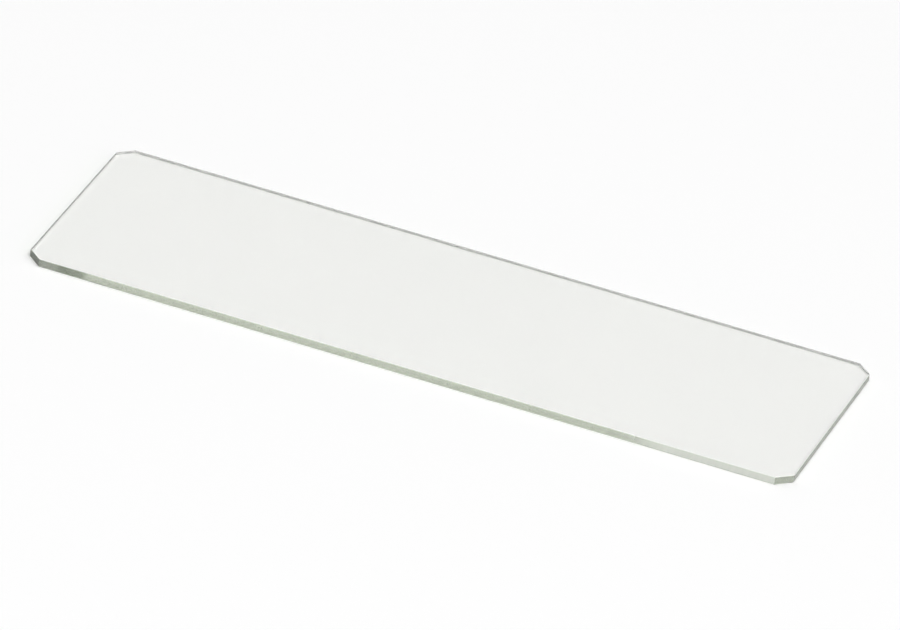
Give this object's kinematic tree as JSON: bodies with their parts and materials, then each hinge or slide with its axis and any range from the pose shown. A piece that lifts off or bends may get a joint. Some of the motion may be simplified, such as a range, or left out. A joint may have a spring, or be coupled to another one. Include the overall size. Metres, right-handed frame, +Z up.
{
  "type": "microscope slide",
  "caption": "Flat rectangular pane of clear glass with clipped corners and ground edges, which carries a specimen under a microscope.",
  "frame": {"origin": "centre of the bottom face, the face that lies on the stage or bench", "axes": "+X along the length, +Y across the width, +Z up through the thickness to the specimen face"},
  "size_m": [0.075, 0.025, 0.0008],
  "materials": {
    "glass": "clear soda-lime glass with polished faces, finely ground satin edges and a faint grey-green tint seen edge on"
  },
  "bodies": {
    "root": {"glass_slide": "glass"}
  },
  "joints": []
}
